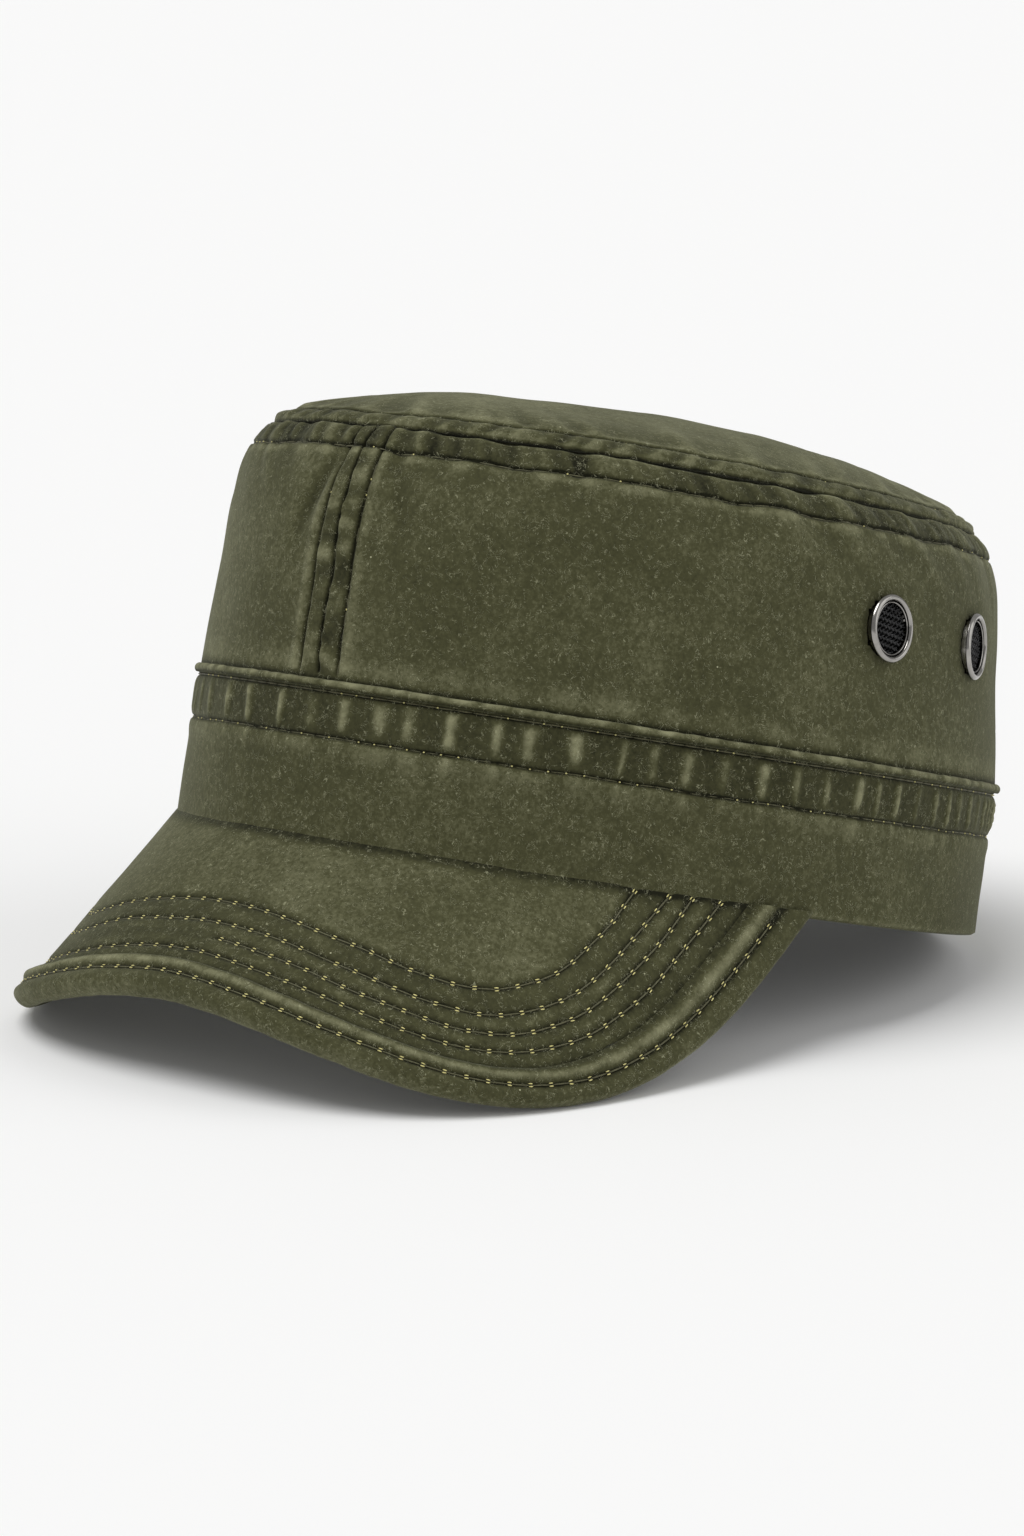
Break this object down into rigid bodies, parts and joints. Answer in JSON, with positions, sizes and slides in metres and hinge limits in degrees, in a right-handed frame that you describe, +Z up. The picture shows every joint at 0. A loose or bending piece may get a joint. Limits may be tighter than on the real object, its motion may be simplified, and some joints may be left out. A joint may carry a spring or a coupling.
{
  "type": "military peaked cap",
  "caption": "Flat-topped military cap in washed olive cotton, with a stitched band, a drooping bound peak, side vent eyelets and a strap with a flip-lever buckle behind.",
  "frame": {"origin": "centre of the bounding box at floor level, with the cap resting on the two low corners of its peak and the back of its rim", "axes": "+Z up, -Y toward the front of the cap, +X toward the wearer's left"},
  "size_m": [0.178, 0.2522, 0.1395],
  "materials": {
    "olive_cotton": "washed, slightly fuzzy",
    "lining_cotton": "plain woven",
    "tape_cotton": "twill tape",
    "board_plastic": "matte",
    "gunmetal": "polished gunmetal plate",
    "black_mesh": "woven wire, black"
  },
  "bodies": {
    "cap": {"crown_top": "olive_cotton", "crown_wall_left": "olive_cotton", "crown_wall_right": "olive_cotton", "hat_band": "olive_cotton", "peak_top_cover": "olive_cotton", "peak_bottom_cover": "olive_cotton", "peak_binding": "olive_cotton", "sweatband_strip": "lining_cotton", "buckle_tab": "olive_cotton", "top_seam_tape": "tape_cotton", "front_seam_tape": "tape_cotton", "back_seam_tape": "tape_cotton", "band_interlining": "tape_cotton", "opening_binding_tape": "olive_cotton", "peak_board": "board_plastic", "buckle_frame": "gunmetal", "buckle_pin": "gunmetal", "eyelet_left_front_ring": "gunmetal", "eyelet_left_front_mesh": "black_mesh", "eyelet_left_front_washer": "gunmetal", "eyelet_left_rear_ring": "gunmetal", "eyelet_left_rear_mesh": "black_mesh", "eyelet_left_rear_washer": "gunmetal", "eyelet_right_front_ring": "gunmetal", "eyelet_right_front_mesh": "black_mesh", "eyelet_right_front_washer": "gunmetal", "eyelet_right_rear_ring": "gunmetal", "eyelet_right_rear_mesh": "black_mesh", "eyelet_right_rear_washer": "gunmetal"},
    "strap": {"back_strap": "olive_cotton"},
    "lever": {"buckle_lever": "gunmetal"}
  },
  "joints": [
    {"name": "strap_slide", "type": "hinge", "parent": "cap", "child": "strap", "pos_m": [0, 0.03857, 0.01724], "axis": [0, 0.2351, 0.972], "range_deg": [-8, 8]},
    {"name": "lever_flip", "type": "hinge", "parent": "cap", "child": "lever", "pos_m": [-0.01181, 0.11794, 0.01141], "axis": [0, -0.2351, -0.972], "range_deg": [0, 85]}
  ]
}
